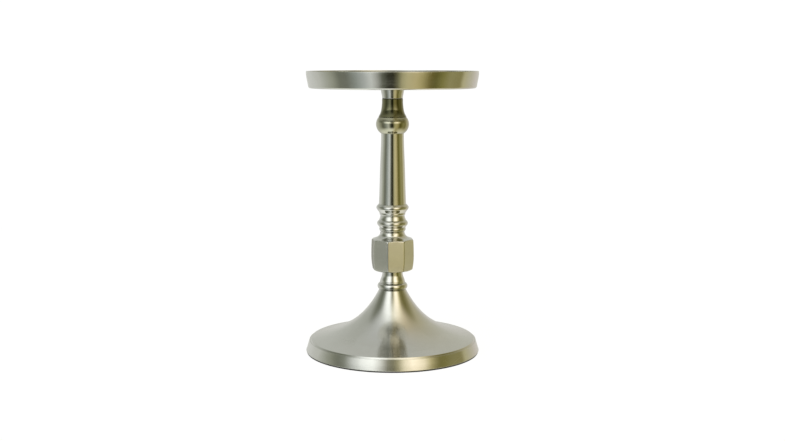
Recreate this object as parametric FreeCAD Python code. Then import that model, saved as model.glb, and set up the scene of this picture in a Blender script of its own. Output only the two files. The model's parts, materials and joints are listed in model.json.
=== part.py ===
import FreeCAD, Part
import math
import os

# A pedestal tray table: a round tray on a turned stem with a wide bell-shaped foot.
# The stem is a stack of hollow and solid turned sections, each centred on the next by a
# short spigot and all clamped together by one long M10 rod.  The tray screws down onto
# the top end of that rod.
# Units are millimetres.  +Z is up.  The origin is the middle of the foot, on the floor.

os.makedirs("parts", exist_ok=True)

# ---------------------------------------------------------------- driving dimensions

# Levels of the joints between the sections, from the floor up.
PAD_TOP = 2.4
FOOT_TOP = 113.0
FOOT_RING_TOP = 125.2
SPOOL_TOP = 148.8
KNOP_TOP = 219.6
LOWER_REEL_TOP = 227.0
LOWER_RING_TOP = 239.5
UPPER_REEL_TOP = 253.0
UPPER_RING_TOP = 268.4
SHAFT_TOP = 395.0
BALL_TOP = 424.0
NECK_TOP = 455.9
WASHER_TOP = 457.1
TRAY_UNDERSIDE = 475.0
TABLE_HEIGHT = 505.0

# Tray
TRAY_RADIUS = 152.5
TRAY_FLOOR_RADIUS = 145.0
TRAY_SHEET = 1.6
COLLAR_RADIUS = 20.7

# Foot
PAD_RADIUS = 156.0
FOOT_RADIUS = 156.9
SHOULDER_RADIUS = 150.7
SHOULDER_HEIGHT = 22.0
DOME_EDGE_RADIUS = 139.5
DOME_EDGE_HEIGHT = 26.2
FOOT_WALL = 3.2
HUB_DEPTH = 15.0
PLATE_THICKNESS = 1.5
PLATE_RADIUS = 152.3
PLATE_ACCESS_RADIUS = 17.0
RIM_LAND_RADIUS = 148.6

# Stem
NECK_RADIUS = 18.7
BALL_RADIUS = 29.4
SHAFT_TOP_RADIUS = 20.3
SHAFT_FOOT_RADIUS = 24.4
UPPER_RING_RADIUS = 29.0
LOWER_RING_RADIUS = 27.7
REEL_WAIST_RADIUS = 21.7
SPOOL_WAIST_RADIUS = 18.4
FOOT_RING_RADIUS = 27.1
TUBE_WALL = 2.2
PLUG_LENGTH = 7.0
TAPER_CLEARANCE = 0.5
BALL_BORE = 14.0
NECK_BORE = 13.0
NUT_RECESS_RADIUS = 11.5
NUT_RECESS_DEPTH = 12.0
NUT_SEAT_THICKNESS = 7.0

# Knop, an eight-sided block
KNOP_SIDES = 8
KNOP_HALF_WIDTH = 36.6
KNOP_CORNER_RADIUS = 42.0
KNOP_SHOULDER = 200.0
KNOP_WAIST = 174.0
KNOP_TURN = -13.0
KNOP_CAVITY_RADIUS = 27.0
KNOP_FLOOR_RADIUS = 30.0
KNOP_FLOOR_THICKNESS = 5.0

# M10 rod, nuts and washers
ROD_RADIUS = 5.0
THREAD_PITCH = 1.5
TRAY_SCREW_TURNS = 8
ROD_HOLE_RADIUS = 5.3
THREAD_HOLE_RADIUS = 5.05
NUT_ACROSS_FLATS = 17.0
NUT_HEIGHT = 8.0
WASHER_RADIUS = 10.5
WASHER_THICKNESS = 2.0
BIG_WASHER_RADIUS = 15.0

# Spigots that centre one section on the next
SPIGOT_RADIUS = 9.0
SPIGOT_HEIGHT = 3.0
SPIGOT_CLEARANCE = 0.15

AXIS_FOOT = FreeCAD.Vector(0, 0, 0)
UP = FreeCAD.Vector(0, 0, 1)


# ---------------------------------------------------------------- outline helpers

def place(at):
    """A point of a half section, given as (radius, height)."""
    return FreeCAD.Vector(at[0], 0, at[1])


def line(to):
    """A straight stretch of an outline."""
    return lambda start: (Part.LineSegment(place(start), place(to)).toShape(), to)


def arc(through, to):
    """A round stretch of an outline that passes through one point."""
    return lambda start: (Part.Arc(place(start), place(through), place(to)).toShape(), to)


def curve(*points):
    """A smooth stretch of an outline through the given points."""
    def draw(start):
        spline = Part.BSplineCurve()
        spline.interpolate([place(at) for at in (start,) + points])
        return spline.toShape(), points[-1]
    return draw


def turned(start, *stretches):
    """The solid of revolution of a closed half section."""
    edges = []
    at = start
    for stretch in stretches + (line(start),):
        edge, at = stretch(at)
        edges.append(edge)
    section = Part.Face(Part.Wire(edges))
    return section.revolve(AXIS_FOOT, UP, 360)


def cylinder(radius, low, high):
    """A plain disc or rod on the table's axis."""
    return Part.makeCylinder(radius, high - low, FreeCAD.Vector(0, 0, low))


def washer(outer, inner, low, high):
    """A flat ring on the table's axis."""
    return cylinder(outer, low, high).cut(cylinder(inner, low, high))


def inset(points, wall):
    """The points of a curve moved sideways by the wall, towards the axis and the floor."""
    moved = []
    last = len(points) - 1
    for index, (radius, height) in enumerate(points):
        before = points[max(index - 1, 0)]
        after = points[min(index + 1, last)]
        run = after[0] - before[0]
        drop = before[1] - after[1]
        length = math.hypot(run, drop)
        moved.append((radius - wall * drop / length, height - wall * run / length))
    return moved


def add_spigot(section, top):
    """Raises the spigot on a section's top face, with the rod's hole through it."""
    raised = washer(SPIGOT_RADIUS, ROD_HOLE_RADIUS, top, top + SPIGOT_HEIGHT)
    return section.fuse(raised).removeSplitter()


def cut_socket(section, bottom):
    """Sinks the socket that takes the spigot of the section below."""
    depth = SPIGOT_HEIGHT + SPIGOT_CLEARANCE
    return section.cut(cylinder(SPIGOT_RADIUS + SPIGOT_CLEARANCE, bottom, bottom + depth))


# ---------------------------------------------------------------- the foot

def base_pad():
    """Black pad under the whole foot."""
    return cylinder(PAD_RADIUS, 0, PAD_TOP)


def base_plate():
    """Steel disc that closes the foot, with a hole for the spanner."""
    return washer(PLATE_RADIUS, PLATE_ACCESS_RADIUS, PAD_TOP, PAD_TOP + PLATE_THICKNESS)


def foot_slope():
    """The long concave sweep of the foot, from its top down to the edge of the dome."""
    return [
        (24.1, FOOT_TOP),
        (32.4, 98.0),
        (43.7, 81.6),
        (56.5, 67.2),
        (72.0, 54.2),
        (90.0, 43.5),
        (113.0, 33.9),
        (DOME_EDGE_RADIUS, DOME_EDGE_HEIGHT),
    ]


def base_bell():
    """Cast bell: a concave sweep, a soft shoulder over a fine groove, and a spreading band."""
    sweep = foot_slope()
    hollow = inset(sweep, FOOT_WALL)[1:]
    hub_under = FOOT_TOP - HUB_DEPTH
    land = PAD_TOP + PLATE_THICKNESS
    foot = turned(
        (ROD_HOLE_RADIUS, FOOT_TOP),
        line(sweep[0]),
        curve(*sweep[1:]),
        arc((144.9, SHOULDER_HEIGHT + 2.6), (SHOULDER_RADIUS - 1.9, SHOULDER_HEIGHT + 0.7)),
        line((SHOULDER_RADIUS - 1.4, SHOULDER_HEIGHT - 0.2)),
        arc((SHOULDER_RADIUS, SHOULDER_HEIGHT - 0.3), (SHOULDER_RADIUS + 0.6, SHOULDER_HEIGHT - 1.4)),
        curve((153.9, 12.4), (FOOT_RADIUS - 0.5, PAD_TOP + 1.0)),
        arc((FOOT_RADIUS, PAD_TOP + 0.5), (FOOT_RADIUS - 0.5, PAD_TOP)),
        line((PLATE_RADIUS + 0.1, PAD_TOP)),
        line((PLATE_RADIUS + 0.1, land)),
        line((RIM_LAND_RADIUS, land)),
        line((RIM_LAND_RADIUS - 1.5, SHOULDER_HEIGHT - 5.0)),
        curve(*reversed(hollow)),
        line((BIG_WASHER_RADIUS + 4, hub_under)),
        line((ROD_HOLE_RADIUS, hub_under)),
    )
    return add_spigot(foot, FOOT_TOP)


def base_washer():
    """Wide washer that spreads the rod's pull over the hub."""
    high = FOOT_TOP - HUB_DEPTH
    return washer(BIG_WASHER_RADIUS, ROD_HOLE_RADIUS, high - WASHER_THICKNESS, high)


def base_lock_washer():
    """Split spring washer, closed flat by the nut."""
    high = FOOT_TOP - HUB_DEPTH - WASHER_THICKNESS
    ring = washer(9.0, ROD_HOLE_RADIUS, high - WASHER_THICKNESS, high)
    gap = Part.makeBox(8, 1.2, WASHER_THICKNESS, FreeCAD.Vector(3, -0.6, high - WASHER_THICKNESS))
    return ring.cut(gap)


def hex_nut(low):
    """M10 nut with its corners turned off at both faces."""
    corner_radius = NUT_ACROSS_FLATS / 2 / math.cos(math.radians(30))
    corners = []
    for number in range(7):
        angle = math.radians(60 * number)
        corners.append(FreeCAD.Vector(
            corner_radius * math.cos(angle), corner_radius * math.sin(angle), low))
    prism = Part.Face(Part.makePolygon(corners)).extrude(FreeCAD.Vector(0, 0, NUT_HEIGHT))
    face_radius = NUT_ACROSS_FLATS / 2 - 0.2
    bevel = 0.8
    rounded = turned(
        (THREAD_HOLE_RADIUS, low),
        line((face_radius, low)),
        line((corner_radius + 0.1, low + bevel)),
        line((corner_radius + 0.1, low + NUT_HEIGHT - bevel)),
        line((face_radius, low + NUT_HEIGHT)),
        line((THREAD_HOLE_RADIUS, low + NUT_HEIGHT)),
    )
    return prism.common(rounded)


def base_nut():
    """Nut inside the foot that tightens the whole stem."""
    return hex_nut(FOOT_TOP - HUB_DEPTH - 2 * WASHER_THICKNESS - NUT_HEIGHT)


# ---------------------------------------------------------------- the stem

def foot_ring():
    """Rounded ring on top of the foot, with a fine groove below it."""
    ring = turned(
        (ROD_HOLE_RADIUS, FOOT_TOP),
        line((24.0, FOOT_TOP)),
        line((24.4, FOOT_TOP + 0.8)),
        arc((FOOT_RING_RADIUS, FOOT_TOP + 6.2), (23.6, FOOT_RING_TOP - 0.2)),
        line((23.2, FOOT_RING_TOP)),
        line((ROD_HOLE_RADIUS, FOOT_RING_TOP)),
    )
    return add_spigot(cut_socket(ring, FOOT_TOP), FOOT_RING_TOP)


def spool():
    """Concave spool with a low lip at its foot."""
    body = turned(
        (ROD_HOLE_RADIUS, FOOT_RING_TOP),
        line((22.6, FOOT_RING_TOP)),
        line((22.9, FOOT_RING_TOP + 0.4)),
        line((22.9, FOOT_RING_TOP + 1.9)),
        line((22.5, FOOT_RING_TOP + 2.4)),
        curve(
            (21.3, FOOT_RING_TOP + 7.0),
            (19.6, FOOT_RING_TOP + 11.4),
            (18.6, FOOT_RING_TOP + 15.8),
            (SPOOL_WAIST_RADIUS, SPOOL_TOP),
        ),
        line((ROD_HOLE_RADIUS, SPOOL_TOP)),
    )
    return add_spigot(cut_socket(body, FOOT_RING_TOP), SPOOL_TOP)


def knop_floor():
    """Plate brazed into the underside of the hollow knop."""
    plate = washer(KNOP_FLOOR_RADIUS - 0.1, ROD_HOLE_RADIUS, SPOOL_TOP,
                   SPOOL_TOP + KNOP_FLOOR_THICKNESS)
    return cut_socket(plate, SPOOL_TOP)


def knop_slab(turn):
    """Two opposite sides of the knop: upright above, leaning in towards the underside."""
    half_run = 60
    high = KNOP_TOP + 1
    low = SPOOL_TOP - 1
    at = [
        FreeCAD.Vector(KNOP_HALF_WIDTH - 0.6, -half_run, high),
        FreeCAD.Vector(KNOP_HALF_WIDTH, -half_run, KNOP_WAIST + 14),
        FreeCAD.Vector(KNOP_HALF_WIDTH, -half_run, KNOP_WAIST),
        FreeCAD.Vector(KNOP_HALF_WIDTH - 0.9, -half_run, KNOP_WAIST - 15),
        FreeCAD.Vector(KNOP_HALF_WIDTH - 3.1, -half_run, low),
    ]
    mirrored = [FreeCAD.Vector(-spot.x, spot.y, spot.z) for spot in at]
    edges = [
        Part.LineSegment(at[0], at[1]).toShape(),
        Part.LineSegment(at[1], at[2]).toShape(),
        Part.Arc(at[2], at[3], at[4]).toShape(),
        Part.LineSegment(at[4], mirrored[4]).toShape(),
        Part.Arc(mirrored[4], mirrored[3], mirrored[2]).toShape(),
        Part.LineSegment(mirrored[2], mirrored[1]).toShape(),
        Part.LineSegment(mirrored[1], mirrored[0]).toShape(),
        Part.LineSegment(mirrored[0], at[0]).toShape(),
    ]
    slab = Part.Face(Part.Wire(edges)).extrude(FreeCAD.Vector(0, 2 * half_run, 0))
    slab.rotate(AXIS_FOOT, UP, turn)
    return slab


def knop():
    """Eight-sided hollow block under a dished round roof, which leaves arched tops."""
    block = turned(
        (ROD_HOLE_RADIUS, SPOOL_TOP),
        line((33.2, SPOOL_TOP)),
        line((KNOP_CORNER_RADIUS, SPOOL_TOP + 3.6)),
        line((KNOP_CORNER_RADIUS, KNOP_SHOULDER)),
        curve(
            (39.6, KNOP_SHOULDER + 2.6),
            (36.6, KNOP_SHOULDER + 5.0),
            (33.4, KNOP_SHOULDER + 6.3),
            (28.3, KNOP_SHOULDER + 8.2),
            (23.7, KNOP_SHOULDER + 12.2),
            (REEL_WAIST_RADIUS, KNOP_TOP - 2.2),
        ),
        line((REEL_WAIST_RADIUS + 0.2, KNOP_TOP)),
        line((ROD_HOLE_RADIUS, KNOP_TOP)),
    )
    flat_turn = 360 / KNOP_SIDES
    # The turn is that of a corner, seen from the front and counted towards +X.
    first = KNOP_TURN - 90 + flat_turn / 2
    for number in range(KNOP_SIDES // 2):
        block = block.common(knop_slab(first + number * flat_turn))
    floor_top = SPOOL_TOP + KNOP_FLOOR_THICKNESS
    cavity = turned(
        (0, floor_top - 0.1),
        line((KNOP_CAVITY_RADIUS, floor_top - 0.1)),
        line((KNOP_CAVITY_RADIUS, KNOP_SHOULDER - 2.5)),
        line((14.0, KNOP_SHOULDER + 6.0)),
        line((0, KNOP_SHOULDER + 6.0)),
    )
    block = block.cut(cavity).cut(cylinder(KNOP_FLOOR_RADIUS, SPOOL_TOP, floor_top))
    return add_spigot(block, KNOP_TOP)


def lower_reel():
    """Small rounded bead between the knop and the lower ring."""
    bead = turned(
        (ROD_HOLE_RADIUS, KNOP_TOP),
        line((22.2, KNOP_TOP)),
        line((22.6, KNOP_TOP + 0.6)),
        arc((23.8, KNOP_TOP + 3.7), (23.2, LOWER_REEL_TOP - 0.8)),
        line((22.8, LOWER_REEL_TOP)),
        line((ROD_HOLE_RADIUS, LOWER_REEL_TOP)),
    )
    return add_spigot(cut_socket(bead, KNOP_TOP), LOWER_REEL_TOP)


def lower_ring():
    """Moulded ring: a quarter round above and a hollow slope back in below."""
    ring = turned(
        (ROD_HOLE_RADIUS, LOWER_REEL_TOP),
        line((23.8, LOWER_REEL_TOP)),
        line((24.1, LOWER_REEL_TOP + 0.6)),
        arc((25.7, LOWER_REEL_TOP + 2.7), (27.0, LOWER_REEL_TOP + 4.3)),
        arc((LOWER_RING_RADIUS, LOWER_REEL_TOP + 6.9), (26.7, LOWER_REEL_TOP + 10.0)),
        line((24.4, LOWER_RING_TOP)),
        line((ROD_HOLE_RADIUS, LOWER_RING_TOP)),
    )
    return add_spigot(cut_socket(ring, LOWER_REEL_TOP), LOWER_RING_TOP)


def upper_reel():
    """Bead over a cove that flares out onto the lower ring."""
    reel = turned(
        (ROD_HOLE_RADIUS, LOWER_RING_TOP),
        line((24.0, LOWER_RING_TOP)),
        line((24.0, LOWER_RING_TOP + 0.9)),
        arc((22.5, LOWER_RING_TOP + 4.8), (REEL_WAIST_RADIUS, UPPER_REEL_TOP - 4.8)),
        line((22.2, UPPER_REEL_TOP - 4.2)),
        arc((23.2, UPPER_REEL_TOP - 2.1), (22.8, UPPER_REEL_TOP)),
        line((ROD_HOLE_RADIUS, UPPER_REEL_TOP)),
    )
    return add_spigot(cut_socket(reel, LOWER_RING_TOP), UPPER_REEL_TOP)


def upper_ring():
    """Largest ring: rounded above, with a long slope back in below."""
    ring = turned(
        (ROD_HOLE_RADIUS, UPPER_REEL_TOP),
        line((23.7, UPPER_REEL_TOP)),
        line((24.1, UPPER_REEL_TOP + 1.1)),
        line((28.0, UPPER_REEL_TOP + 6.4)),
        arc((UPPER_RING_RADIUS, UPPER_REEL_TOP + 8.9), (28.0, UPPER_REEL_TOP + 12.2)),
        line((25.2, UPPER_RING_TOP)),
        line((ROD_HOLE_RADIUS, UPPER_RING_TOP)),
    )
    plug_radius = SHAFT_FOOT_RADIUS - TUBE_WALL - TAPER_CLEARANCE
    plug = washer(plug_radius, ROD_HOLE_RADIUS, UPPER_RING_TOP, UPPER_RING_TOP + PLUG_LENGTH)
    return cut_socket(ring.fuse(plug).removeSplitter(), UPPER_REEL_TOP)


def shaft():
    """Long tapered tube with a gentle swell towards its foot."""
    side = [
        (SHAFT_TOP_RADIUS, SHAFT_TOP),
        (20.7, SHAFT_TOP - 23),
        (22.0, SHAFT_TOP - 54),
        (23.1, SHAFT_TOP - 91),
        (SHAFT_FOOT_RADIUS, UPPER_RING_TOP),
    ]
    inner = [(radius - TUBE_WALL, height) for radius, height in side]
    return turned(
        side[0],
        curve(*side[1:]),
        line(inner[-1]),
        curve(*reversed(inner[:-1])),
    )


def ball():
    """Hollow bulb with a plug below that centres it in the shaft."""
    plug_radius = SHAFT_TOP_RADIUS - TUBE_WALL - SPIGOT_CLEARANCE
    plug_bottom = SHAFT_TOP - PLUG_LENGTH
    return turned(
        (BALL_BORE, plug_bottom),
        line((plug_radius, plug_bottom)),
        line((plug_radius, SHAFT_TOP)),
        line((SHAFT_TOP_RADIUS + 0.2, SHAFT_TOP)),
        arc((BALL_RADIUS, BALL_TOP - 12.5), (25.2, BALL_TOP - 0.5)),
        line((24.2, BALL_TOP)),
        line((BALL_BORE, BALL_TOP)),
        line((BALL_BORE, BALL_TOP - 5)),
        arc((BALL_RADIUS - 6, BALL_TOP - 13), (BALL_BORE, SHAFT_TOP + 3)),
    )


def neck():
    """Straight neck that flares to a lip, with the upper nut's recess in its top."""
    seat = NECK_TOP - NUT_RECESS_DEPTH
    seat_under = seat - NUT_SEAT_THICKNESS
    body = turned(
        (NECK_BORE, BALL_TOP),
        line((24.3, BALL_TOP)),
        line((24.8, BALL_TOP + 0.4)),
        line((24.8, BALL_TOP + 1.2)),
        curve(
            (23.2, BALL_TOP + 3.6),
            (20.9, BALL_TOP + 9.2),
            (19.4, BALL_TOP + 17.4),
            (NECK_RADIUS, BALL_TOP + 25.5),
        ),
        line((NECK_RADIUS, NECK_TOP - 0.3)),
        line((NECK_RADIUS - 0.3, NECK_TOP)),
        line((NUT_RECESS_RADIUS, NECK_TOP)),
        line((NUT_RECESS_RADIUS, seat)),
        line((ROD_HOLE_RADIUS, seat)),
        line((ROD_HOLE_RADIUS, seat_under)),
        line((NECK_BORE, seat_under)),
    )
    rim = washer(BALL_BORE - SPIGOT_CLEARANCE, NECK_BORE - 1.0, BALL_TOP - SPIGOT_HEIGHT, BALL_TOP)
    collar = washer(NECK_BORE, NECK_BORE - 1.0, BALL_TOP, BALL_TOP + SPIGOT_HEIGHT)
    return body.fuse([rim, collar]).removeSplitter()


def neck_nut_washer():
    """Washer in the neck's recess."""
    seat = NECK_TOP - NUT_RECESS_DEPTH
    return washer(WASHER_RADIUS, ROD_HOLE_RADIUS, seat, seat + WASHER_THICKNESS)


def neck_nut():
    """Nut in the neck's recess, below the top face."""
    return hex_nut(NECK_TOP - NUT_RECESS_DEPTH + WASHER_THICKNESS)


def tie_rod():
    """M10 rod from the foot's nut up into the tray's boss, bevelled at both ends."""
    low = FOOT_TOP - HUB_DEPTH - 2 * WASHER_THICKNESS - NUT_HEIGHT - 4
    high = WASHER_TOP + THREAD_PITCH * TRAY_SCREW_TURNS + 1.0
    bevel = 0.9
    return turned(
        (0, low),
        line((ROD_RADIUS - bevel, low)),
        line((ROD_RADIUS, low + bevel)),
        line((ROD_RADIUS, high - bevel)),
        line((ROD_RADIUS - bevel, high)),
        line((0, high)),
    )


# ---------------------------------------------------------------- the tray

def neck_washer():
    """Black washer that the collar tightens down onto."""
    return washer(NECK_RADIUS - 0.6, 11.8, NECK_TOP, WASHER_TOP)


def tray_collar():
    """Flared spun collar that covers the boss, brazed to the tray."""
    wall = 1.8
    floor = WASHER_TOP + 2.2
    waist = WASHER_TOP + 4.9
    shoulder = WASHER_TOP + 9.9
    return turned(
        (SPIGOT_RADIUS + 0.1, WASHER_TOP),
        line((18.2, WASHER_TOP)),
        line((18.4, WASHER_TOP + 0.4)),
        curve((18.9, waist), (19.9, shoulder), (COLLAR_RADIUS, TRAY_UNDERSIDE)),
        line((COLLAR_RADIUS - wall, TRAY_UNDERSIDE)),
        curve((19.9 - wall, shoulder), (18.9 - wall, waist), (18.4 - wall, floor)),
        line((SPIGOT_RADIUS + 0.1, floor)),
    )


def tray_boss():
    """Threaded bush with a flange, brazed to the middle of the tray."""
    mouth = WASHER_TOP + 0.4
    flange = TRAY_UNDERSIDE - 3
    bush = cylinder(SPIGOT_RADIUS, mouth, TRAY_UNDERSIDE)
    bush = bush.fuse(cylinder(16.5, flange, TRAY_UNDERSIDE)).removeSplitter()
    return bush.cut(cylinder(THREAD_HOLE_RADIUS, mouth, TRAY_UNDERSIDE - 2))


def tray():
    """Spun pan: a flat floor, a tight bottom corner and a wall that leans out slightly."""
    under = TRAY_UNDERSIDE
    floor = under + TRAY_SHEET
    rim = TABLE_HEIGHT
    wall_foot = TRAY_RADIUS - 3.5
    wall = [(150.6, under + 12.5), (TRAY_RADIUS - 0.3, under + 21.5), (TRAY_RADIUS, rim - 1.0)]
    inner = [(radius - TRAY_SHEET, height) for radius, height in wall]
    return turned(
        (0, under),
        line((TRAY_FLOOR_RADIUS, under)),
        arc((wall_foot - 1.2, under + 1.1), (wall_foot, under + 3.6)),
        curve(*wall),
        arc((TRAY_RADIUS - TRAY_SHEET / 2, rim), inner[-1]),
        curve(*reversed(inner[:-1]), (wall_foot - TRAY_SHEET, under + 4.2)),
        arc((wall_foot - 2.4, floor + 1.0), (TRAY_FLOOR_RADIUS, floor)),
        line((0, floor)),
    )


# ---------------------------------------------------------------- all the pieces

PIECES = {
    "base_pad": base_pad,
    "base_plate": base_plate,
    "base_bell": base_bell,
    "base_washer": base_washer,
    "base_lock_washer": base_lock_washer,
    "base_nut": base_nut,
    "foot_ring": foot_ring,
    "spool": spool,
    "knop_floor": knop_floor,
    "knop": knop,
    "lower_reel": lower_reel,
    "lower_ring": lower_ring,
    "upper_reel": upper_reel,
    "upper_ring": upper_ring,
    "shaft": shaft,
    "ball": ball,
    "neck": neck,
    "neck_nut_washer": neck_nut_washer,
    "neck_nut": neck_nut,
    "tie_rod": tie_rod,
    "neck_washer": neck_washer,
    "tray_collar": tray_collar,
    "tray_boss": tray_boss,
    "tray": tray,
}

for name, make in PIECES.items():
    shape = make()
    shape.exportStep("parts/" + name + ".step")
    box = shape.BoundBox
    print("%-17s solids %d valid %s volume %9.0f z %.1f to %.1f r %.1f" % (
        name, len(shape.Solids), shape.isValid(), shape.Volume, box.ZMin, box.ZMax, box.XMax))
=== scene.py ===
# %% [markdown]
# # A nickel-plated pedestal tray table
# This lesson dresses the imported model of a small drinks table: a round tray with an upright
# wall, a turned stem with mouldings and an eight-sided knop, and a wide spun foot.
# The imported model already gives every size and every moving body, so nothing is measured
# twice: each piece here takes its outline or its place from it.

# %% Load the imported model
import json
import math

import bmesh
import bpy
import numpy as np
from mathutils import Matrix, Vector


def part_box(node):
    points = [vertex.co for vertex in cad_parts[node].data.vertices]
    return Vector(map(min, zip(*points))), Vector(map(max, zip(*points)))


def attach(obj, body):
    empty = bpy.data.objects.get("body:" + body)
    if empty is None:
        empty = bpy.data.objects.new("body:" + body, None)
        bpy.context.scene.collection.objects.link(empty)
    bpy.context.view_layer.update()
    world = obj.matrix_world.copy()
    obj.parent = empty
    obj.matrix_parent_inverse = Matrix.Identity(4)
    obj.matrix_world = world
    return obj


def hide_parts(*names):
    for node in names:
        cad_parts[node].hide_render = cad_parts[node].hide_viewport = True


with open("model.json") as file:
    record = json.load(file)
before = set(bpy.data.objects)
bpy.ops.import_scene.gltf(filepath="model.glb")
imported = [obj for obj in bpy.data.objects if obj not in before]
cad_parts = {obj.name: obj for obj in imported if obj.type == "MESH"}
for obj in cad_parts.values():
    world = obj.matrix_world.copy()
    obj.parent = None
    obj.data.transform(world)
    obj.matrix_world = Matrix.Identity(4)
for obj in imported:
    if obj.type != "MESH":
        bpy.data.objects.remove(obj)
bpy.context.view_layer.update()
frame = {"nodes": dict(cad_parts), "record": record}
nodes = frame["nodes"]
body_of = {name: body for body, names in frame["record"]["behaviour"]["bodies"].items()
           for name in names}

# %% [markdown]
# ## Working in millimetres
# A turner works from a drawing in millimetres and Blender works in metres. One number turns
# one into the other, so that every size below can be read as it would stand on the drawing.

# %% Millimetres
MM = 0.001

# %% [markdown]
# ## Reading the outline of a turned piece
# Nearly everything here was made on a lathe or spun over a former, so one half-outline holds
# the whole shape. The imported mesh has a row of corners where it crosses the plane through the
# axis, on the +X side. Walking along that row gives the outline back, as radius and height.
# This beats tracing the shape a second time, because the two can't drift apart.

# %% Outline reader
def read_outline(name):
    """The outline of a turned piece as (radius, height) in mm, closed on itself or on the axis."""
    mesh = nodes[name].data
    near = 0.002
    place = []
    for corner in mesh.vertices:
        x, y, z = corner.co / MM
        on_plane = abs(y) < near and x > -near
        place.append((round(x, 3), round(z, 3)) if on_plane else None)
    beside = {}
    for edge in mesh.edges:
        one, other = place[edge.vertices[0]], place[edge.vertices[1]]
        if one and other and one != other:
            beside.setdefault(one, set()).add(other)
            beside.setdefault(other, set()).add(one)
    ends = sorted(spot for spot, friends in beside.items() if len(friends) == 1)
    walk = [ends[0] if ends else min(beside)]
    while True:
        fresh = sorted(spot for spot in beside[walk[-1]] if spot not in walk)
        if not fresh:
            break
        walk.append(fresh[0])
    if ends:
        walk = [(0.0, walk[0][1])] + walk + [(0.0, walk[-1][1])]
    return walk


print("the foot's outline has", len(read_outline("base_bell")), "points")

# %% [markdown]
# ## Breaking the sharp corners
# No real edge is perfectly sharp: the polishing wheel rounds it by a quarter of a millimetre
# or so, and that narrow round is what catches the light as a fine bright line. Each sharp
# corner of an outline is therefore cut back and replaced by a small curve. A gentle bend,
# which is only a step of a real curve, is left as it is.

# %% Corner rounding
SHARP_TURN = math.radians(11)


def break_corners(outline, size):
    """The outline with a small curve, at most size mm long each way, at every sharp corner."""
    count = len(outline)
    on_axis = outline[0][0] == 0.0
    points = [np.array(spot) for spot in outline]
    result = []
    for number, here in enumerate(points):
        if on_axis and number in (0, count - 1):
            result.append(here)
            continue
        before = points[number - 1] - here
        after = points[(number + 1) % count] - here
        reach_before, reach_after = np.linalg.norm(before), np.linalg.norm(after)
        cosine = -before.dot(after) / (reach_before * reach_after)
        if math.acos(max(-1.0, min(1.0, cosine))) < SHARP_TURN:
            result.append(here)
            continue
        start = here + before / reach_before * min(size, 0.4 * reach_before)
        end = here + after / reach_after * min(size, 0.4 * reach_after)
        for part in (0.0, 0.25, 0.5, 0.75, 1.0):
            result.append((1 - part) ** 2 * start + 2 * part * (1 - part) * here + part ** 2 * end)
    return result


# %% [markdown]
# ## The crisp shoulder of the foot
# On the real foot the dome ends in a crisp edge, drops into a fine groove and comes out over
# the top of the band, so two bright lines run round it with a dark one between. The packed
# model draws this a little softer than it is, so that short stretch is drawn again here.

# %% Foot shoulder
CRISP_SHOULDER = [(142.5, 25.45), (145.3, 24.75), (148.0, 24.1), (149.7, 21.8), (149.9, 21.4),
                  (150.2, 21.4), (150.5, 21.72), (150.9, 21.62), (151.2, 21.2)]


def recut_shoulder(outline):
    """The foot's outline with a crisp edge to its dome above the spreading band."""
    soft = [number for number, (radius, height) in enumerate(outline)
            if 140 < radius < 151.29 and height > (21.4 if radius < 149 else 20.7)]
    return outline[:soft[0]] + CRISP_SHOULDER + outline[soft[-1] + 1:]


# %% [markdown]
# ## Turning an outline into a mesh
# The Screw modifier could spin the outline, but writing the rings directly keeps the count of
# faces known and closes the middle of the tray with one neat fan. A weighted-normal modifier
# then lets the large faces decide the shading, so a flat stays flat right up to its round.

# %% Rings to mesh
def finish_mesh(name, corners, faces, node_names):
    """Makes the object, shades it, hangs it on its body and hides the pieces it stands for."""
    mesh = bpy.data.meshes.new(name)
    mesh.from_pydata([tuple(corner) for corner in corners], [], faces)
    tidy = bmesh.new()
    tidy.from_mesh(mesh)
    bmesh.ops.recalc_face_normals(tidy, faces=tidy.faces)
    tidy.to_mesh(mesh)
    tidy.free()
    mesh.polygons.foreach_set("use_smooth", [True] * len(mesh.polygons))
    piece = bpy.data.objects.new(name, mesh)
    bpy.context.scene.collection.objects.link(piece)
    evened = piece.modifiers.new("even shading", "WEIGHTED_NORMAL")
    evened.weight = 50
    evened.keep_sharp = True
    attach(piece, body_of[node_names[0]])
    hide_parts(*node_names)
    return piece


def skin_rings(rings, closed):
    """Corners and faces over rings of equal length. A ring of one corner is a point on the axis."""
    corners, firsts, faces = [], [], []
    for ring in rings:
        firsts.append(len(corners))
        corners.extend(ring)
    pairs = list(zip(range(len(rings)), range(1, len(rings))))
    if closed:
        pairs.append((len(rings) - 1, 0))
    for low, high in pairs:
        around = max(len(rings[low]), len(rings[high]))
        for step in range(around):
            following = (step + 1) % around
            face = [firsts[low] + step, firsts[low] + following,
                    firsts[high] + following, firsts[high] + step]
            if len(rings[low]) == 1:
                face = [firsts[low], face[2], face[3]]
            elif len(rings[high]) == 1:
                face = [face[0], face[1], firsts[high]]
            faces.append(face)
    return corners, faces


def spin(outline, around):
    """Rings of the outline turned about the vertical axis."""
    rings = []
    for radius, height in outline:
        turns = [2 * math.pi * step / around for step in range(around if radius > 0 else 1)]
        rings.append([(radius * MM * math.cos(turn), radius * MM * math.sin(turn), height * MM)
                      for turn in turns])
    return skin_rings(rings, closed=outline[0][0] > 0)


# %% [markdown]
# ## The turned and spun pieces
# The stem is a stack of separate castings and tubes on one long tie rod, and the fine dark
# lines between them are real joints, so each stays a piece of its own. Wide pieces get more
# steps around, to keep their edges round, and the thin sheet of the tray gets a smaller round
# on its edges than the solid mouldings do.

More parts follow.
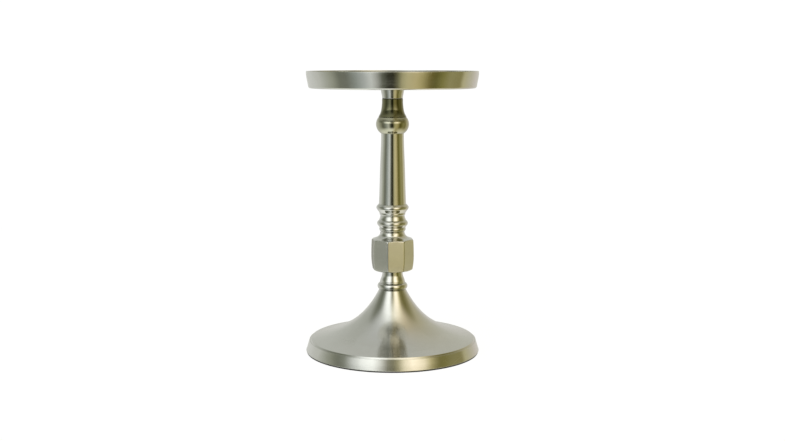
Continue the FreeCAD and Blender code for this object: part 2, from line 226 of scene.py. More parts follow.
# %% Turned pieces
STEPS_WIDE = 320
STEPS_STEM = 160
turned_pieces = [
    # name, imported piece, slot, steps around, edge round in mm
    ("tray_pan", "tray", "nickel_tray", STEPS_WIDE, 0.25),
    ("tray_stem_collar", "tray_collar", "nickel_tray", STEPS_STEM, 0.1),
    ("stem_neck", "neck", "nickel_stem", STEPS_STEM, 0.15),
    ("stem_ball", "ball", "nickel_stem", STEPS_STEM, 0.3),
    ("stem_shaft", "shaft", "nickel_stem", STEPS_STEM, 0.3),
    ("stem_upper_ring", "upper_ring", "nickel_stem", STEPS_STEM, 0.35),
    ("stem_upper_reel", "upper_reel", "nickel_stem", STEPS_STEM, 0.3),
    ("stem_lower_ring", "lower_ring", "nickel_stem", STEPS_STEM, 0.35),
    ("stem_lower_reel", "lower_reel", "nickel_stem", STEPS_STEM, 0.3),
    ("stem_spool", "spool", "nickel_stem", STEPS_STEM, 0.35),
    ("stem_foot_ring", "foot_ring", "nickel_stem", STEPS_STEM, 0.35),
    ("stem_knop_floor", "knop_floor", "nickel_stem", STEPS_STEM, 0.25),
    ("foot_bell", "base_bell", "nickel_foot", STEPS_WIDE, 0.35),
    ("foot_pad", "base_pad", "black_pad", STEPS_WIDE, 0.4),
    ("collar_washer", "neck_washer", "black_fibre", STEPS_STEM, 0.08),
]
pieces = {}
for name, node_name, slot, around, edge in turned_pieces:
    outline = read_outline(node_name)
    if name == "foot_bell":
        outline = recut_shoulder(outline)
    outline = break_corners(outline, edge)
    corners, faces = spin(outline, around)
    pieces[name] = finish_mesh(name, corners, faces, [node_name])
    print("%-18s %4d points in the outline, %6d faces" % (name, len(outline), len(faces)))

# %% [markdown]
# ## The eight-sided knop
# The knop is a casting with eight filed faces under a turned, dished roof. Each face cuts into
# the roof in an arch, so the arches aren't drawn: they come from where the two surfaces meet.
# The shape is written as a distance: how far a point is outside each face, the roof and the
# bevel below. The largest of those decides, and a soft maximum rounds the edges as polishing
# does. Rows of corners follow the arches, so that the bright edge stays crisp.

# %% Knop dimensions
KNOP_FACES = 8
KNOP_HALF_WIDTH = 36.6
KNOP_FIRST_FACE = math.radians(-90 - 13 + 22.5)
KNOP_LEAN_BELOW = 174.0
KNOP_LEAN_ABOVE = 177.0
KNOP_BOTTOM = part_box("knop")[0].z / MM
KNOP_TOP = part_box("lower_reel")[0].z / MM
KNOP_EDGE_ROUND = 0.4
KNOP_CORNER_RADIUS = 42.0
knop_roof = [(44.0, 197.6), (42.0, 200.0), (39.6, 202.6), (36.6, 205.0), (33.4, 206.3),
             (28.3, 208.2), (23.7, 212.2), (21.7, 217.4), (21.9, 219.6)]


def smooth_line(points, share):
    """A Catmull-Rom curve through the points, cut into share steps between each two."""
    spots = [np.array(point) for point in points]
    spots = [2 * spots[0] - spots[1]] + spots + [2 * spots[-1] - spots[-2]]
    line = []
    for a, b, c, d in zip(spots, spots[1:], spots[2:], spots[3:]):
        for step in range(share):
            t = step / share
            line.append(0.5 * (2 * b + (c - a) * t + (2 * a - 5 * b + 4 * c - d) * t ** 2
                               + (3 * b - a - 3 * c + d) * t ** 3))
    return np.array(line + [spots[-2]])


roof_line = smooth_line(knop_roof, 12)
print("knop from", round(KNOP_BOTTOM, 1), "to", round(KNOP_TOP, 1), "mm")

# %% [markdown]
# The faces lean in towards the underside, and a little towards the roof, because a file held
# by hand always rocks. Both leans are arcs, and a squared term follows each closely.

# %% Knop distance
LEAN_BELOW_DEPTH = 3.0
LEAN_BELOW_HEIGHT = 26.2
LEAN_ABOVE_DEPTH = 0.9
LEAN_ABOVE_HEIGHT = 28.0
BEVEL_INNER_RADIUS = 33.2
BEVEL_HEIGHT = 3.6
# Roof and bevel slope, so a distance measured level is longer than one measured square on.
ROOF_TILT = 0.6
BEVEL_TILT = 0.4


def face_distance(height):
    """Distance from the axis to a face at that height, in mm."""
    below = np.clip((KNOP_LEAN_BELOW - height) / LEAN_BELOW_HEIGHT, 0, None)
    above = np.clip((height - KNOP_LEAN_ABOVE) / LEAN_ABOVE_HEIGHT, 0, None)
    return KNOP_HALF_WIDTH - LEAN_BELOW_DEPTH * below ** 2 - LEAN_ABOVE_DEPTH * above ** 2


def roof_radius(height):
    """Radius of the turned roof at that height, in mm."""
    return np.interp(height, roof_line[:, 1], roof_line[:, 0])


def bevel_radius(height):
    """Radius of the turned bevel round the underside, in mm."""
    slope = (KNOP_CORNER_RADIUS - BEVEL_INNER_RADIUS) / BEVEL_HEIGHT
    return BEVEL_INNER_RADIUS + (height - KNOP_BOTTOM) * slope


def outside(radius, turn, height):
    """How far a point is outside the knop, with its edges softened."""
    parts = [(radius * np.cos(turn - KNOP_FIRST_FACE - number * 2 * math.pi / KNOP_FACES)
              - face_distance(height)) for number in range(KNOP_FACES)]
    parts.append((radius - roof_radius(height)) * ROOF_TILT)
    parts.append((radius - bevel_radius(height)) * BEVEL_TILT)
    parts = np.array(parts) / KNOP_EDGE_ROUND
    top = parts.max(axis=0)
    return KNOP_EDGE_ROUND * (top + np.log(np.exp(parts - top).sum(axis=0)))


def find_root(function, low, high):
    """Halving search, on whole arrays at once, for where a rising function passes nought."""
    for _ in range(40):
        middle = (low + high) / 2
        above = function(middle) > 0
        high = np.where(above, middle, high)
        low = np.where(above, low, middle)
    return (low + high) / 2


# %% [markdown]
# Columns crowd towards the eight corners and rows crowd towards the arch and the bevel, which
# are where the surface turns quickly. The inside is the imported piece's own outline.

# %% Knop mesh
COLUMNS_PER_FACE = 24
spread = np.linspace(-1, 1, COLUMNS_PER_FACE + 1)[:-1]
crowded = np.sign(spread) * (1 - (1 - np.abs(spread)) ** 1.6)
columns = np.array([KNOP_FIRST_FACE + (number + share / 2) * 2 * math.pi / KNOP_FACES
                    for number in range(KNOP_FACES) for share in crowded])
off_face = (columns - KNOP_FIRST_FACE + math.pi / 8) % (math.pi / 4) - math.pi / 8
arch = find_root(lambda z: face_distance(z) / np.cos(off_face) - roof_radius(z),
                 np.full(len(columns), 190.0), np.full(len(columns), KNOP_TOP))
bevel_top = find_root(lambda z: bevel_radius(z) - face_distance(z) / np.cos(off_face),
                      np.full(len(columns), KNOP_BOTTOM), np.full(len(columns), 160.0))


def rows_between(low, high, count):
    """Rows of heights from low up to, but not including, high."""
    return [low + (high - low) * step / count for step in range(count)]


EDGE_STRIP = 1.1
heights = rows_between(np.full(len(columns), KNOP_BOTTOM + 0.05), bevel_top - 0.8, 5)
heights += rows_between(bevel_top - 0.8, bevel_top + 1.2, 8)
heights += rows_between(bevel_top + 1.2, arch - EDGE_STRIP, 26)
heights += rows_between(arch - EDGE_STRIP, arch + EDGE_STRIP, 12)
heights += rows_between(arch + EDGE_STRIP, np.full(len(columns), KNOP_TOP), 26)
heights.append(np.full(len(columns), KNOP_TOP))
rings = []
for height in heights:
    radius = find_root(lambda r: outside(r, columns, height), np.full(len(columns), 15.0),
                       np.full(len(columns), 45.0))
    rings.append(list(zip(radius * MM * np.cos(columns), radius * MM * np.sin(columns),
                          height * MM)))
inner = read_outline("knop")[1:-1]
bottom = inner.index(min(inner, key=lambda spot: (round(spot[1], 1), -spot[0])))
last = max(number for number, spot in enumerate(inner)
           if spot[1] >= KNOP_TOP - 0.05 and spot[0] > 12)
hollow = inner[bottom:last]
for radius, height in reversed(hollow[1:]):
    rings.append([(radius * MM * math.cos(turn), radius * MM * math.sin(turn), height * MM)
                  for turn in columns])
corners, faces = skin_rings(rings, closed=True)
pieces["stem_knop"] = finish_mesh("stem_knop", corners, faces, ["knop"])
print("knop:", len(faces), "faces; arch from", round(float(arch.min()), 1), "to",
      round(float(arch.max()), 1), "mm")

# %% [markdown]
# ## The threaded tie rod
# One steel rod with an M10 thread at both ends pulls the whole stem together, and its top
# end is what the tray screws onto. It shows only while the tray is being unscrewed, and then
# the thread is right in front of the eye, so it is a true helix: the radius depends on height
# and turn together. A plain cylinder with a bump would keep a straight outline.

# %% Rod mesh
ROD_RADIUS = 5.0
THREAD_PITCH = 1.5
THREAD_DEPTH = 0.8
ROWS_PER_PITCH = 10
THREADED_LENGTH = 42.0
ROD_BEVEL = 0.9
rod_low, rod_high = (corner.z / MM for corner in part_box("tie_rod"))
rod_around = 48
rod_turns = np.arange(rod_around) * 2 * math.pi / rod_around


def thread_rows(low, high):
    """Heights for a threaded stretch, fine enough for the flanks of the thread."""
    return list(np.arange(low, high, THREAD_PITCH / ROWS_PER_PITCH))


def rod_radius(height, turns):
    """Radius of the rod all round at one height: plain in the middle, threaded at both ends."""
    phase = (height / THREAD_PITCH - turns / (2 * math.pi)) % 1.0
    groove = np.clip(1 - np.abs(phase - 0.5) / 0.42, 0, 1) * THREAD_DEPTH
    from_end = min(height - rod_low, rod_high - height)
    if from_end > THREADED_LENGTH:
        groove = groove * 0
    bevel = max(0.0, ROD_BEVEL - from_end)
    return np.minimum(ROD_RADIUS - groove, ROD_RADIUS - bevel)


PLAIN_FROM = THREADED_LENGTH + 0.3
rod_heights = thread_rows(rod_low, rod_low + THREADED_LENGTH)
rod_heights += [rod_low + PLAIN_FROM, rod_high - PLAIN_FROM]
rod_heights += thread_rows(rod_high - THREADED_LENGTH, rod_high) + [rod_high]
rings = [[(0.0, 0.0, rod_low * MM)]]
for height in rod_heights:
    radius = rod_radius(height, rod_turns)
    rings.append(list(zip(radius * MM * np.cos(rod_turns), radius * MM * np.sin(rod_turns),
                          np.full(rod_around, height * MM))))
rings.append([(0.0, 0.0, rod_high * MM)])
corners, faces = skin_rings(rings, closed=False)
pieces["threaded_rod"] = finish_mesh("threaded_rod", corners, faces, ["tie_rod"])
print("rod:", round(rod_high - rod_low, 1), "mm long,", len(faces), "faces")

# %% [markdown]
# ## Two small tools for materials
# Colours are picked as sRGB hex values, as a paint chart gives them, and shaders need linear
# light, so one function converts them. A second one adds a node with its settings and links.

# %% Colour and node helpers
def linear(colour, strength=1.0):
    """An sRGB hex colour as linear red, green, blue and alpha."""
    shares = [int(colour[place:place + 2], 16) / 255 for place in (1, 3, 5)]
    light = [share / 12.92 if share <= 0.04045 else ((share + 0.055) / 1.055) ** 2.4
             for share in shares]
    return (light[0] * strength, light[1] * strength, light[2] * strength, 1.0)


def add_node(tree, kind, settings=None, inputs=None):
    """Adds one node. Settings are its own choices; inputs are values, or sockets to link."""
    new = tree.nodes.new(kind)
    for name, value in (settings or {}).items():
        setattr(new, name, value)
    for name, value in (inputs or {}).items():
        if isinstance(value, bpy.types.NodeSocket):
            tree.links.new(value, new.inputs[name])
        else:
            new.inputs[name].default_value = value
    return new


def set_stops(ramp, stops):
    """Gives a colour ramp its stops, as (position, colour)."""
    elements = ramp.color_ramp.elements
    while len(elements) > 1:
        elements.remove(elements[-1])
    elements[0].position, elements[0].color = stops[0]
    for position, colour in stops[1:]:
        elements.new(position).color = colour


def new_material(name):
    """An empty material with one principled shader, and its node tree."""
    material = bpy.data.materials.new(name)
    material.use_nodes = True
    tree = material.node_tree
    tree.nodes.clear()
    shader = add_node(tree, "ShaderNodeBsdfPrincipled")
    add_node(tree, "ShaderNodeOutputMaterial", inputs={"Surface": shader.outputs["BSDF"]})
    return material, tree, shader


def paint(names, material):
    """Puts one material on several pieces, packed or rebuilt."""
    for name in names:
        piece = pieces.get(name) or nodes[name]
        piece.data.materials.clear()
        piece.data.materials.append(material)


# %% [markdown]
# ## Nickel plate, finished by different hands
# The table is brass under a layer of nickel some ten micrometres thick. Nickel is a metal, so
# its colour is all in its reflections: a grey with a breath of warm yellow. What sets the
# finishes apart is the last abrasive. On the tray a belt ran round the wall, and its grooves
# blur reflections up and down but keep them sharp sideways, which the anisotropy of the
# shader gives once its tangent runs up the wall. The rings and reels were buffed on a wheel,
# which leaves them the glossiest. The long shaft was polished while it turned, and the foot
# was rubbed down to a satin on the lathe. The neck and the ball get a darker, more olive
# colour: painted shade for the dark they take from under the tray, more on the neck than on
# the ball. That may be tarnish, or only what they reflect; here it is drawn as tarnish, more
# on the neck than on the ball. The knop's flat faces are drawn as filed, and darker where they
# turn away, as file marks shade one another at a grazing angle.
#
# The marks run around the axis, so the pattern is read in turning coordinates: direction
# around, radius and height. Stretching noise along the direction makes the streaks. Real
# grooves are about 0.05 mm apart, which no render at this size can show, so they are drawn
# between 0.5 and 0.9 mm apart.

# %% Turning coordinates
def turning_noise(tree, groove, streaks):
    """Noise in streaks round the axis: groove is their spacing in mm, streaks their number."""
    place = add_node(tree, "ShaderNodeTexCoord")
    split = add_node(tree, "ShaderNodeSeparateXYZ", inputs={0: place.outputs["Object"]})
    flat = add_node(tree, "ShaderNodeCombineXYZ",
                    inputs={0: split.outputs[0], 1: split.outputs[1]})
    radius = add_node(tree, "ShaderNodeVectorMath", {"operation": "LENGTH"},
                      {0: flat.outputs[0]})
    around = add_node(tree, "ShaderNodeVectorMath", {"operation": "NORMALIZE"},
                      {0: flat.outputs[0]})
    scaled = add_node(tree, "ShaderNodeVectorMath", {"operation": "SCALE"},
                      {0: around.outputs[0], "Scale": streaks / (2 * math.pi)})
    per_metre = 1 / (groove * MM)
    rise = add_node(tree, "ShaderNodeMath", {"operation": "MULTIPLY"},
                    {0: split.outputs[2], 1: per_metre})
    spread = add_node(tree, "ShaderNodeMath", {"operation": "MULTIPLY"},
                      {0: radius.outputs["Value"], 1: per_metre})
    lift = add_node(tree, "ShaderNodeCombineXYZ", inputs={2: rise.outputs[0]})
    where = add_node(tree, "ShaderNodeVectorMath", {"operation": "ADD"},
                     {0: scaled.outputs[0], 1: lift.outputs[0]})
    return add_node(tree, "ShaderNodeTexNoise", {"noise_dimensions": "4D"},
                    {"Vector": where.outputs[0], "W": spread.outputs[0], "Scale": 1.0,
                     "Detail": 3.0, "Roughness": 0.55})


# %% [markdown]
# Each finish then mixes three things: fine streaks that change the roughness and tilt the
# surface a little, broad faint clouds where fingers and polishing cloths have dulled it, and
# a few hair scratches. The clouds also darken the colour by a percent or two.

# %% Nickel finish
def nickel_finish(name, colour, dull_colour, roughness, swing, groove, streaks, relief,
                  anisotropy, scratches, grazing="#FFFFFF"):
    """One finish of nickel plate. roughness and swing are the middle and the range."""
    material, tree, shader = new_material(name)
    fine = turning_noise(tree, groove, streaks)
    place = add_node(tree, "ShaderNodeTexCoord")
    clouds = add_node(tree, "ShaderNodeTexNoise", inputs={
        "Vector": place.outputs["Object"], "Scale": 1 / (45 * MM), "Detail": 4.0,
        "Roughness": 0.6, "Distortion": 0.6})
    shade = add_node(tree, "ShaderNodeMapRange", inputs={
        "Value": clouds.outputs[0], "From Min": 0.35, "From Max": 0.75, "To Min": 0.0,
        "To Max": 1.0})
    tint = add_node(tree, "ShaderNodeMix", {"data_type": "RGBA"}, {
        0: shade.outputs[0], 6: linear(colour), 7: linear(dull_colour)})
    streak_level = add_node(tree, "ShaderNodeMapRange", inputs={
        "Value": fine.outputs[0], "From Min": 0.3, "From Max": 0.7,
        "To Min": roughness - swing, "To Max": roughness + swing})
    dulled = add_node(tree, "ShaderNodeMath", {"operation": "MULTIPLY_ADD"}, {
        0: shade.outputs[0], 1: swing * 0.8, 2: streak_level.outputs[0]})
    cells = add_node(tree, "ShaderNodeTexVoronoi", {"feature": "DISTANCE_TO_EDGE"}, {
        "Vector": place.outputs["Object"], "Scale": 1 / (38 * MM)})
    hair = add_node(tree, "ShaderNodeMapRange", inputs={
        "Value": cells.outputs["Distance"], "From Min": 0.0, "From Max": 0.006,
        "To Min": 1.0, "To Max": 0.0})
    patchy = add_node(tree, "ShaderNodeMapRange", inputs={
        "Value": clouds.outputs[0], "From Min": 0.52, "From Max": 0.6, "To Min": 0.0,
        "To Max": scratches})
    scratch = add_node(tree, "ShaderNodeMath", {"operation": "MULTIPLY"}, {
        0: hair.outputs[0], 1: patchy.outputs[0]})
    rough = add_node(tree, "ShaderNodeMath", {"operation": "MULTIPLY_ADD", "use_clamp": True}, {
        0: scratch.outputs[0], 1: 0.2, 2: dulled.outputs[0]})
    marks = add_node(tree, "ShaderNodeMath", {"operation": "SUBTRACT"}, {
        0: fine.outputs[0], 1: scratch.outputs[0]})
    bump = add_node(tree, "ShaderNodeBump", inputs={
        "Height": marks.outputs[0], "Distance": relief * MM, "Strength": 1.0})
    tangent = add_node(tree, "ShaderNodeTangent", {"direction_type": "RADIAL", "axis": "Z"})
    for socket, source in (("Base Color", tint.outputs[2]), ("Roughness", rough.outputs[0]),
                           ("Normal", bump.outputs[0]), ("Tangent", tangent.outputs[0])):
        tree.links.new(source, shader.inputs[socket])
    shader.inputs["Metallic"].default_value = 1.0
    shader.inputs["Anisotropic"].default_value = anisotropy
    shader.inputs["Anisotropic Rotation"].default_value = 0.25
    shader.inputs["Specular Tint"].default_value = linear(grazing)
    return material


belt_brushed_nickel = nickel_finish(
    "belt_brushed_nickel_plate", "#C7C7C2", "#C0C0BA", roughness=0.15, swing=0.04, groove=0.7,
    streaks=22, relief=0.004, anisotropy=0.85, scratches=0.8)
buffed_nickel = nickel_finish(
    "buffed_nickel_plate", "#CACAC5", "#C2C2BC", roughness=0.11, swing=0.03, groove=0.5,
    streaks=8, relief=0.002, anisotropy=0.5, scratches=0.5)
long_polished_nickel = nickel_finish(
    "long_polished_nickel_plate", "#CCCCC6", "#C3C3BC", roughness=0.125, swing=0.02,
    groove=0.5, streaks=8, relief=0.001, anisotropy=0.85, scratches=0.5)
# Neck: a darker, more olive colour, painted shade for the dark it takes from under the tray.
neck_painted_shade_nickel = nickel_finish(
    "smoked_polished_nickel_plate", "#7A795F", "#6E6D52", roughness=0.09, swing=0.015,
    groove=0.5, streaks=8, relief=0.001, anisotropy=0.7, scratches=0.4)
# Ball: the same painted shade as the neck, but milder.
ball_painted_shade_nickel = nickel_finish(
    "handled_polished_nickel_plate", "#B2B19E", "#A5A490", roughness=0.11, swing=0.02,
    groove=0.5, streaks=8, relief=0.001, anisotropy=0.5, scratches=0.4)
satin_spun_nickel = nickel_finish(
    "satin_spun_nickel_plate", "#C7C7C2", "#C1C1BB", roughness=0.165, swing=0.025, groove=0.9,
    streaks=16, relief=0.0025, anisotropy=0.75, scratches=0.7)
filed_nickel = nickel_finish(
    "filed_satin_nickel_plate", "#DEDDD8", "#D5D4CE", roughness=0.34, swing=0.05, groove=0.8,
    streaks=12, relief=0.004, anisotropy=0.0, scratches=0.7, grazing="#A6A69E")
paint(["tray_pan", "tray_stem_collar"], belt_brushed_nickel)
paint([name for name in pieces if name.startswith("stem_")], buffed_nickel)
paint(["stem_shaft"], long_polished_nickel)
# Painted shade: the neck and the ball get the darker colours made above.
paint(["stem_neck"], neck_painted_shade_nickel)
paint(["stem_ball"], ball_painted_shade_nickel)
paint(["foot_bell"], satin_spun_nickel)
nickels = [material.name for material in bpy.data.materials if "nickel" in material.name]
print("nickel finishes:", len(nickels), nickels)

# %% [markdown]
# The knop carries a second finish. Only its eight faces were filed; its roof and its rounded
# edges were buffed with the rest of the stem.

# %% Second finish on the knop
def paint_where(piece, material, chosen):
    """Gives a second material to the faces of a piece that chosen picks."""
    piece.data.materials.append(material)
    slot_number = len(piece.data.materials) - 1
    picked = [face for face in piece.data.polygons if chosen(face)]
    for face in picked:
        face.material_index = slot_number
    print(piece.name, "has", len(picked), "faces of", material.name)


def on_knop_face(face):
    """True where the knop is flat: the normal is that of one of its eight sides."""
    across = math.atan2(face.normal.y, face.normal.x) - KNOP_FIRST_FACE
    step = 2 * math.pi / KNOP_FACES
    from_side = abs((across + step / 2) % step - step / 2)
    outward = face.normal.x * face.center.x + face.normal.y * face.center.y > 0
    return outward and from_side < math.radians(5) and abs(face.normal.z) < 0.3


paint_where(pieces["stem_knop"], filed_nickel, on_knop_face)

# %% [markdown]
# ## The plain materials
# Between collar and neck sits a washer of vulcanised fibre, a hard black card. Under the foot
# is a disc of foam rubber that keeps the metal off the floor. Both are matt, with a grain:
# fibres a few tenths of a millimetre across in one, open cells near a millimetre in the other.

# %% Fibre and foam
def matt_grain(name, dark, light, roughness, grain, relief):
    """A matt, grainy material: grain is the size of its marks in mm."""
    material, tree, shader = new_material(name)
    place = add_node(tree, "ShaderNodeTexCoord")
    cells = add_node(tree, "ShaderNodeTexNoise", inputs={
        "Vector": place.outputs["Object"], "Scale": 1 / (grain * MM), "Detail": 3.0})
    tint = add_node(tree, "ShaderNodeMix", {"data_type": "RGBA"}, {
        0: cells.outputs[0], 6: linear(dark), 7: linear(light)})
    bump = add_node(tree, "ShaderNodeBump", inputs={
        "Height": cells.outputs[0], "Distance": relief * MM})
    rough = add_node(tree, "ShaderNodeMapRange", inputs={
        "Value": cells.outputs[0], "To Min": roughness - 0.08, "To Max": roughness + 0.08})
    tree.links.new(tint.outputs[2], shader.inputs["Base Color"])
    tree.links.new(bump.outputs[0], shader.inputs["Normal"])
    tree.links.new(rough.outputs[0], shader.inputs["Roughness"])
    return material


vulcanised_fibre = matt_grain("vulcanised_fibre", "#050505", "#0E0D0C", 0.75, 0.4, 0.03)
foam_rubber = matt_grain("closed_cell_foam_rubber", "#121212", "#2A2A2A", 0.85, 0.9, 0.12)
paint(["collar_washer"], vulcanised_fibre)
paint(["foot_pad"], foam_rubber)

# %% [markdown]
# ## The hidden hardware
# Nuts, washers and the rod are zinc-plated steel, with the soft sparkle of small zinc
# crystals. The bush inside the collar is brass straight from the lathe, and the plate inside
# the foot is steel under black lacquer with a slight orange peel.

# %% Hardware metals
def crystal_metal(name, dark, light, metallic, roughness, grain, relief):
    """A hard surface with a fine cellular grain: grain is the size of a cell in mm."""
    material, tree, shader = new_material(name)
    place = add_node(tree, "ShaderNodeTexCoord")
    cells = add_node(tree, "ShaderNodeTexVoronoi", inputs={
        "Vector": place.outputs["Object"], "Scale": 1 / (grain * MM)})
    tone = add_node(tree, "ShaderNodeSeparateColor", inputs={0: cells.outputs["Color"]})
    tint = add_node(tree, "ShaderNodeMix", {"data_type": "RGBA"}, {
        0: tone.outputs[0], 6: linear(dark), 7: linear(light)})
    rough = add_node(tree, "ShaderNodeMapRange", inputs={
        "Value": tone.outputs[1], "To Min": roughness - 0.06, "To Max": roughness + 0.06})
    bump = add_node(tree, "ShaderNodeBump", inputs={
        "Height": cells.outputs["Distance"], "Distance": relief * MM})
    tree.links.new(tint.outputs[2], shader.inputs["Base Color"])
    tree.links.new(rough.outputs[0], shader.inputs["Roughness"])
    tree.links.new(bump.outputs[0], shader.inputs["Normal"])
    shader.inputs["Metallic"].default_value = metallic
    return material


zinc_plated_steel = crystal_metal("zinc_plated_steel", "#A9ACAF", "#C6C9CB", 1.0, 0.32, 0.5, 0.01)
turned_brass = crystal_metal("turned_brass", "#C49A4C", "#D8B264", 1.0, 0.28, 0.8, 0.008)
lacquered_steel = crystal_metal("black_lacquered_steel", "#151515", "#1D1D1D", 0.0, 0.4, 1.2, 0.02)
paint(["threaded_rod", "neck_nut", "neck_nut_washer", "base_nut", "base_washer",
       "base_lock_washer"], zinc_plated_steel)
paint(["tray_boss"], turned_brass)
paint(["base_plate"], lacquered_steel)

# %% [markdown]
# ## The floor
# A plain white floor, as in a catalogue studio. It glows slightly, as a light table does, so
# that it reads as white all over with only a breath of shadow under the foot. The metal
# doesn't mirror this disc: the ground painted on the studio below stands in for it, pale
# straight underneath and dimmer further out, where the light table ends.

# %% Studio floor
FLOOR_RADIUS = 1.9
floor_mesh = bpy.data.meshes.new("studio_floor")
floor_shape = bmesh.new()
bmesh.ops.create_circle(floor_shape, cap_ends=True, segments=128, radius=FLOOR_RADIUS)
floor_shape.to_mesh(floor_mesh)
floor_shape.free()
floor = bpy.data.objects.new("studio_floor", floor_mesh)
bpy.context.scene.collection.objects.link(floor)
floor.visible_glossy = False
floor_material, tree, shader = new_material("white_light_table")
shader.inputs["Base Color"].default_value = linear("#F4F4F4", 0.12)
shader.inputs["Roughness"].default_value = 1.0
shader.inputs["Specular IOR Level"].default_value = 0.0
shader.inputs["Emission Color"].default_value = linear("#FFFFFF")
shader.inputs["Emission Strength"].default_value = 0.93
floor.data.materials.append(floor_material)

# %% [markdown]
# ## The studio around the table
# Nickel shows nothing but its surroundings, so the studio matters as much as the finish. Two
# tall soft lights stand either side of the camera: cool white on the left, cream on the right,
# with a narrow dark gap between them. The walls to the left are a dull grey-green and those
# to the right olive, and the backdrop behind the table is pale again. All of it is painted
# on the world by bearing and height, because soft light from far away needs no geometry.
# Bearings run from 0 at the camera towards +90 on the right. The camera itself sees white.

# %% Studio bands
walls = [
    (-180, "#A8A8A3"), (-140, "#B8B9B6"), (-115, "#B2B3AE"), (-104, "#A2A49C"),
    (-88, "#8B8D80"), (-76, "#696B60"), (-64, "#676960"), (-50, "#838984"), (-38, "#A0A4A2"),
    (-29, "#BABDBA"), (-22, "#9FA09B"), (-14, "#55574B"), (-6, "#2A2B20"), (1, "#201F14"),
    (7, "#5A5840"), (13, "#97926E"), (20, "#ABA37C"), (32, "#AEA276"), (41, "#9A9060"),
    (52, "#655C2E"), (60, "#575326"), (72, "#76713F"), (84, "#88825A"), (104, "#807950"),
    (111, "#A8A27F"), (125, "#ACA792"), (145, "#B4AEA6"), (180, "#A8A8A3")]
soft_lights = [
    (-180, "#9B9C98"), (-125, "#8E908A"), (-105, "#66685E"), (-85, "#55584C"), (-68, "#7A7D74"),
    (-54, "#C6C8C6"), (-42, "#E8EAE8"), (-26, "#F0F2F0"), (-16, "#C8C8C3"), (-7, "#7E7C6E"), (1, "#706D58"),
    (8, "#948E70"), (16, "#DCD2BA"), (28, "#FFF2DC"), (42, "#ECE0C6"), (53, "#B0A67C"),
    (66, "#6A633E"), (85, "#5C5630"), (105, "#706A4A"), (125, "#928C74"), (180, "#9B9C98")]
ceiling = [
    (-180, "#A8A9A6"), (-110, "#AEB0AE"), (-75, "#C2C4C2"), (-38, "#FAFCFA"), (-20, "#FAFCFA"),
    (0, "#E8E4D2"), (20, "#FAF4E2"), (38, "#F4EAD2"), (75, "#C6BA9F"), (110, "#ABA187"),
    (180, "#A8A9A6")]
ground = [
    (-180, "#E0E0DC"), (-70, "#DCDED8"), (-30, "#E6E8E4"), (-4, "#E6E4DA"), (14, "#D2CBB2"),
    (32, "#A0976F"), (52, "#C0B898"), (90, "#D0CAB4"), (180, "#E0E0DC")]
STUDIO_STRENGTH = 1.77


def bearing_stops(band, gain):
    """Colour-ramp stops for a band of (bearing, colour), made brighter by gain."""
    return [(bearing / 360 + 0.5, linear(colour, gain)) for bearing, colour in band]


# %% [markdown]
# The world's direction vector gives the bearing from its first two parts and the height from
# its third. Four ramps, one for each band, are blended by height: the pale ground straight
# below, the walls, the soft lights above eye level, and the ceiling.

# %% World
world = bpy.data.worlds.new("soft_studio")
bpy.context.scene.world = world
world.use_nodes = True
tree = world.node_tree
tree.nodes.clear()
ray = add_node(tree, "ShaderNodeTexCoord")
split = add_node(tree, "ShaderNodeSeparateXYZ", inputs={0: ray.outputs["Generated"]})
ahead = add_node(tree, "ShaderNodeMath", {"operation": "MULTIPLY"}, {0: split.outputs[1], 1: -1.0})
bearing = add_node(tree, "ShaderNodeMath", {"operation": "ARCTAN2"},
                   {0: split.outputs[0], 1: ahead.outputs[0]})
share = add_node(tree, "ShaderNodeMath", {"operation": "MULTIPLY_ADD"},
                 {0: bearing.outputs[0], 1: 1 / (2 * math.pi), 2: 0.5})
bands = []
for band, gain in ((walls, 1.0), (soft_lights, 1.25), (ceiling, 1.0), (ground, 1.0)):
    ramp = add_node(tree, "ShaderNodeValToRGB", inputs={0: share.outputs[0]})
    set_stops(ramp, bearing_stops(band, gain))
    bands.append(ramp)
to_lights = add_node(tree, "ShaderNodeMapRange", {"interpolation_type": "SMOOTHSTEP"}, {
    "Value": split.outputs[2], "From Min": math.sin(math.radians(4)),
    "From Max": math.sin(math.radians(19))})
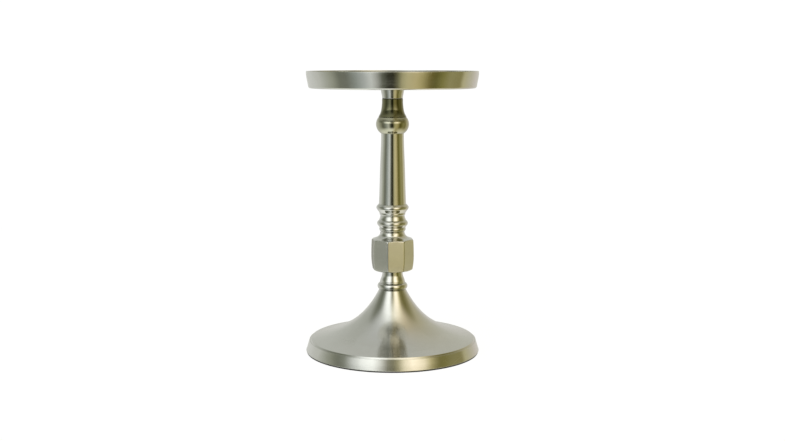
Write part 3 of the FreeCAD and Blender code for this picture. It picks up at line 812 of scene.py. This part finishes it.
to_ceiling = add_node(tree, "ShaderNodeMapRange", {"interpolation_type": "SMOOTHSTEP"}, {
    "Value": split.outputs[2], "From Min": math.sin(math.radians(42)),
    "From Max": math.sin(math.radians(68))})
to_walls = add_node(tree, "ShaderNodeMapRange", {"interpolation_type": "SMOOTHSTEP"}, {
    "Value": split.outputs[2], "From Min": math.sin(math.radians(-64)),
    "From Max": math.sin(math.radians(-24))})
low_half = add_node(tree, "ShaderNodeMix", {"data_type": "RGBA"}, {
    0: to_walls.outputs[0], 6: bands[3].outputs[0], 7: bands[0].outputs[0]})
lower = add_node(tree, "ShaderNodeMix", {"data_type": "RGBA"}, {
    0: to_lights.outputs[0], 6: low_half.outputs[2], 7: bands[1].outputs[0]})
studio = add_node(tree, "ShaderNodeMix", {"data_type": "RGBA"}, {
    0: to_ceiling.outputs[0], 6: lower.outputs[2], 7: bands[2].outputs[0]})
light = add_node(tree, "ShaderNodeBackground", inputs={
    "Color": studio.outputs[2], "Strength": STUDIO_STRENGTH})
plain = add_node(tree, "ShaderNodeBackground", inputs={
    "Color": linear("#FFFFFF"), "Strength": 1.02})
path = add_node(tree, "ShaderNodeLightPath")
seen = add_node(tree, "ShaderNodeMixShader", inputs={
    0: path.outputs["Is Camera Ray"], 1: light.outputs[0], 2: plain.outputs[0]})
add_node(tree, "ShaderNodeOutputWorld", inputs={"Surface": seen.outputs[0]})
bpy.context.scene.view_settings.view_transform = "Standard"

# %% [markdown]
# ## The camera
# It stands two metres in front of the table, just above the height of the tray, and looks
# slightly down, so the tray's rim closes to a thin line and the foot opens to an ellipse.

# %% Camera
CAMERA_DISTANCE = 1.996
CAMERA_HEIGHT = 0.5234
LOOKS_DOWN = 8.13
camera_data = bpy.data.cameras.new("camera")
camera_data.lens = 51.4
camera_data.sensor_width = 36.0
camera = bpy.data.objects.new("camera", camera_data)
camera.location = (0.0, -CAMERA_DISTANCE, CAMERA_HEIGHT)
camera.rotation_euler = (math.radians(90 - LOOKS_DOWN), 0.0, 0.0)
bpy.context.scene.collection.objects.link(camera)
bpy.context.scene.camera = camera
